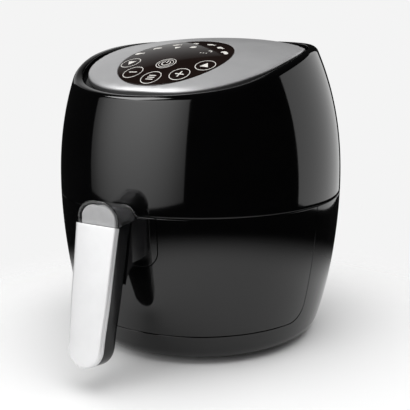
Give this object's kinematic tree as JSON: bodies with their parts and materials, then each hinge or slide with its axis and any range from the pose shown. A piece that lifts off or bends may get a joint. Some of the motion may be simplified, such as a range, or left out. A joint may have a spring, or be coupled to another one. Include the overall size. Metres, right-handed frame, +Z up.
{
  "type": "air fryer",
  "caption": "Round-bodied countertop air fryer with a pull-out drawer and basket, touch control top, front grip with a guarded release button, and rear air outlet.",
  "frame": {"origin": "centre of the bounding box on the surface the feet stand on", "axes": "+Z up, -Y towards the handle at the front, +X to the right seen from the front"},
  "size_m": [0.2796, 0.3395, 0.2883],
  "materials": {
    "shell_gloss_black": "high gloss moulded plastic",
    "ledge_black": "gloss moulded plastic",
    "plate_silver": "satin silver paint",
    "lens_dark": "glossy tinted acrylic",
    "board_green": "solder mask",
    "grip_black": "fine satin moulded plastic",
    "trim_silver": "bright satin silver",
    "button_grey": "satin grey plastic",
    "guard_smoke": "glossy smoked plastic",
    "base_black": "moulded plastic",
    "rubber": "matte rubber",
    "screw_steel": "zinc plated",
    "nonstick": "dark non-stick coating",
    "sheet_steel": "plain sheet steel",
    "element_steel": "heat-toned steel",
    "fan_aluminium": "rolled aluminium",
    "fan_plastic": "heat resistant plastic",
    "ceramic_white": "fired ceramic",
    "motor_steel": "plated laminations"
  },
  "bodies": {
    "housing": {"upper_shell": "shell_gloss_black", "top_cover": "ledge_black", "top_trim_plate": "plate_silver", "touch_lens": "lens_dark", "display_board": "board_green", "plate_screws": "screw_steel", "lower_housing": "shell_gloss_black", "base_plate": "base_black", "base_screws": "screw_steel", "rubber_feet": "rubber", "bay_liner": "sheet_steel", "drawer_rails": "base_black", "drawer_switch": "base_black", "cord_gland": "rubber", "mid_deck": "base_black", "heat_reflector": "sheet_steel", "element_guard": "sheet_steel", "heating_element": "element_steel", "element_terminals": "ceramic_white", "exhaust_duct": "base_black", "exhaust_grille": "base_black", "motor_bracket": "sheet_steel", "fan_motor": "motor_steel", "motor_screws": "screw_steel", "temperature_sensor": "sheet_steel", "thermal_cutout": "ceramic_white", "board_frame": "base_black", "power_board": "board_green"},
    "fan": {"fan_shaft": "screw_steel", "fan_nut": "screw_steel", "convection_fan": "fan_aluminium", "cooling_fan": "fan_plastic"},
    "drawer": {"drawer_front": "shell_gloss_black", "drawer_pan": "nonstick", "pan_screws": "screw_steel", "latch_keeper": "sheet_steel", "handle_panel": "shell_gloss_black", "fry_basket": "nonstick", "basket_feet": "rubber", "basket_bracket": "sheet_steel", "bracket_rivets": "screw_steel", "handle_trim": "trim_silver", "handle_grip": "grip_black", "handle_arm": "grip_black", "handle_screws": "screw_steel", "button_housing": "button_grey", "button_spring": "screw_steel"},
    "guard": {"button_guard": "guard_smoke"},
    "button": {"release_button": "button_grey", "release_latch": "sheet_steel"}
  },
  "joints": [
    {"name": "drawer_slide", "type": "slide", "parent": "housing", "child": "drawer", "axis": [0, -1, 0], "range_m": [0, 0.19]},
    {"name": "guard_slide", "type": "slide", "parent": "drawer", "child": "guard", "axis": [0, -0.9622, 0.2723], "range_m": [0, 0.014]},
    {"name": "button_press", "type": "slide", "parent": "drawer", "child": "button", "axis": [0, 0, -1], "range_m": [0, 0.003], "stiffness_N_per_m": 400, "springref_m": -0.002, "deforming": ["button_spring"]},
    {"name": "fan_spin", "type": "hinge", "parent": "housing", "child": "fan", "pos_m": [0, 0.0294, 0.2], "axis": [0, 0, 1], "continuous": true}
  ]
}
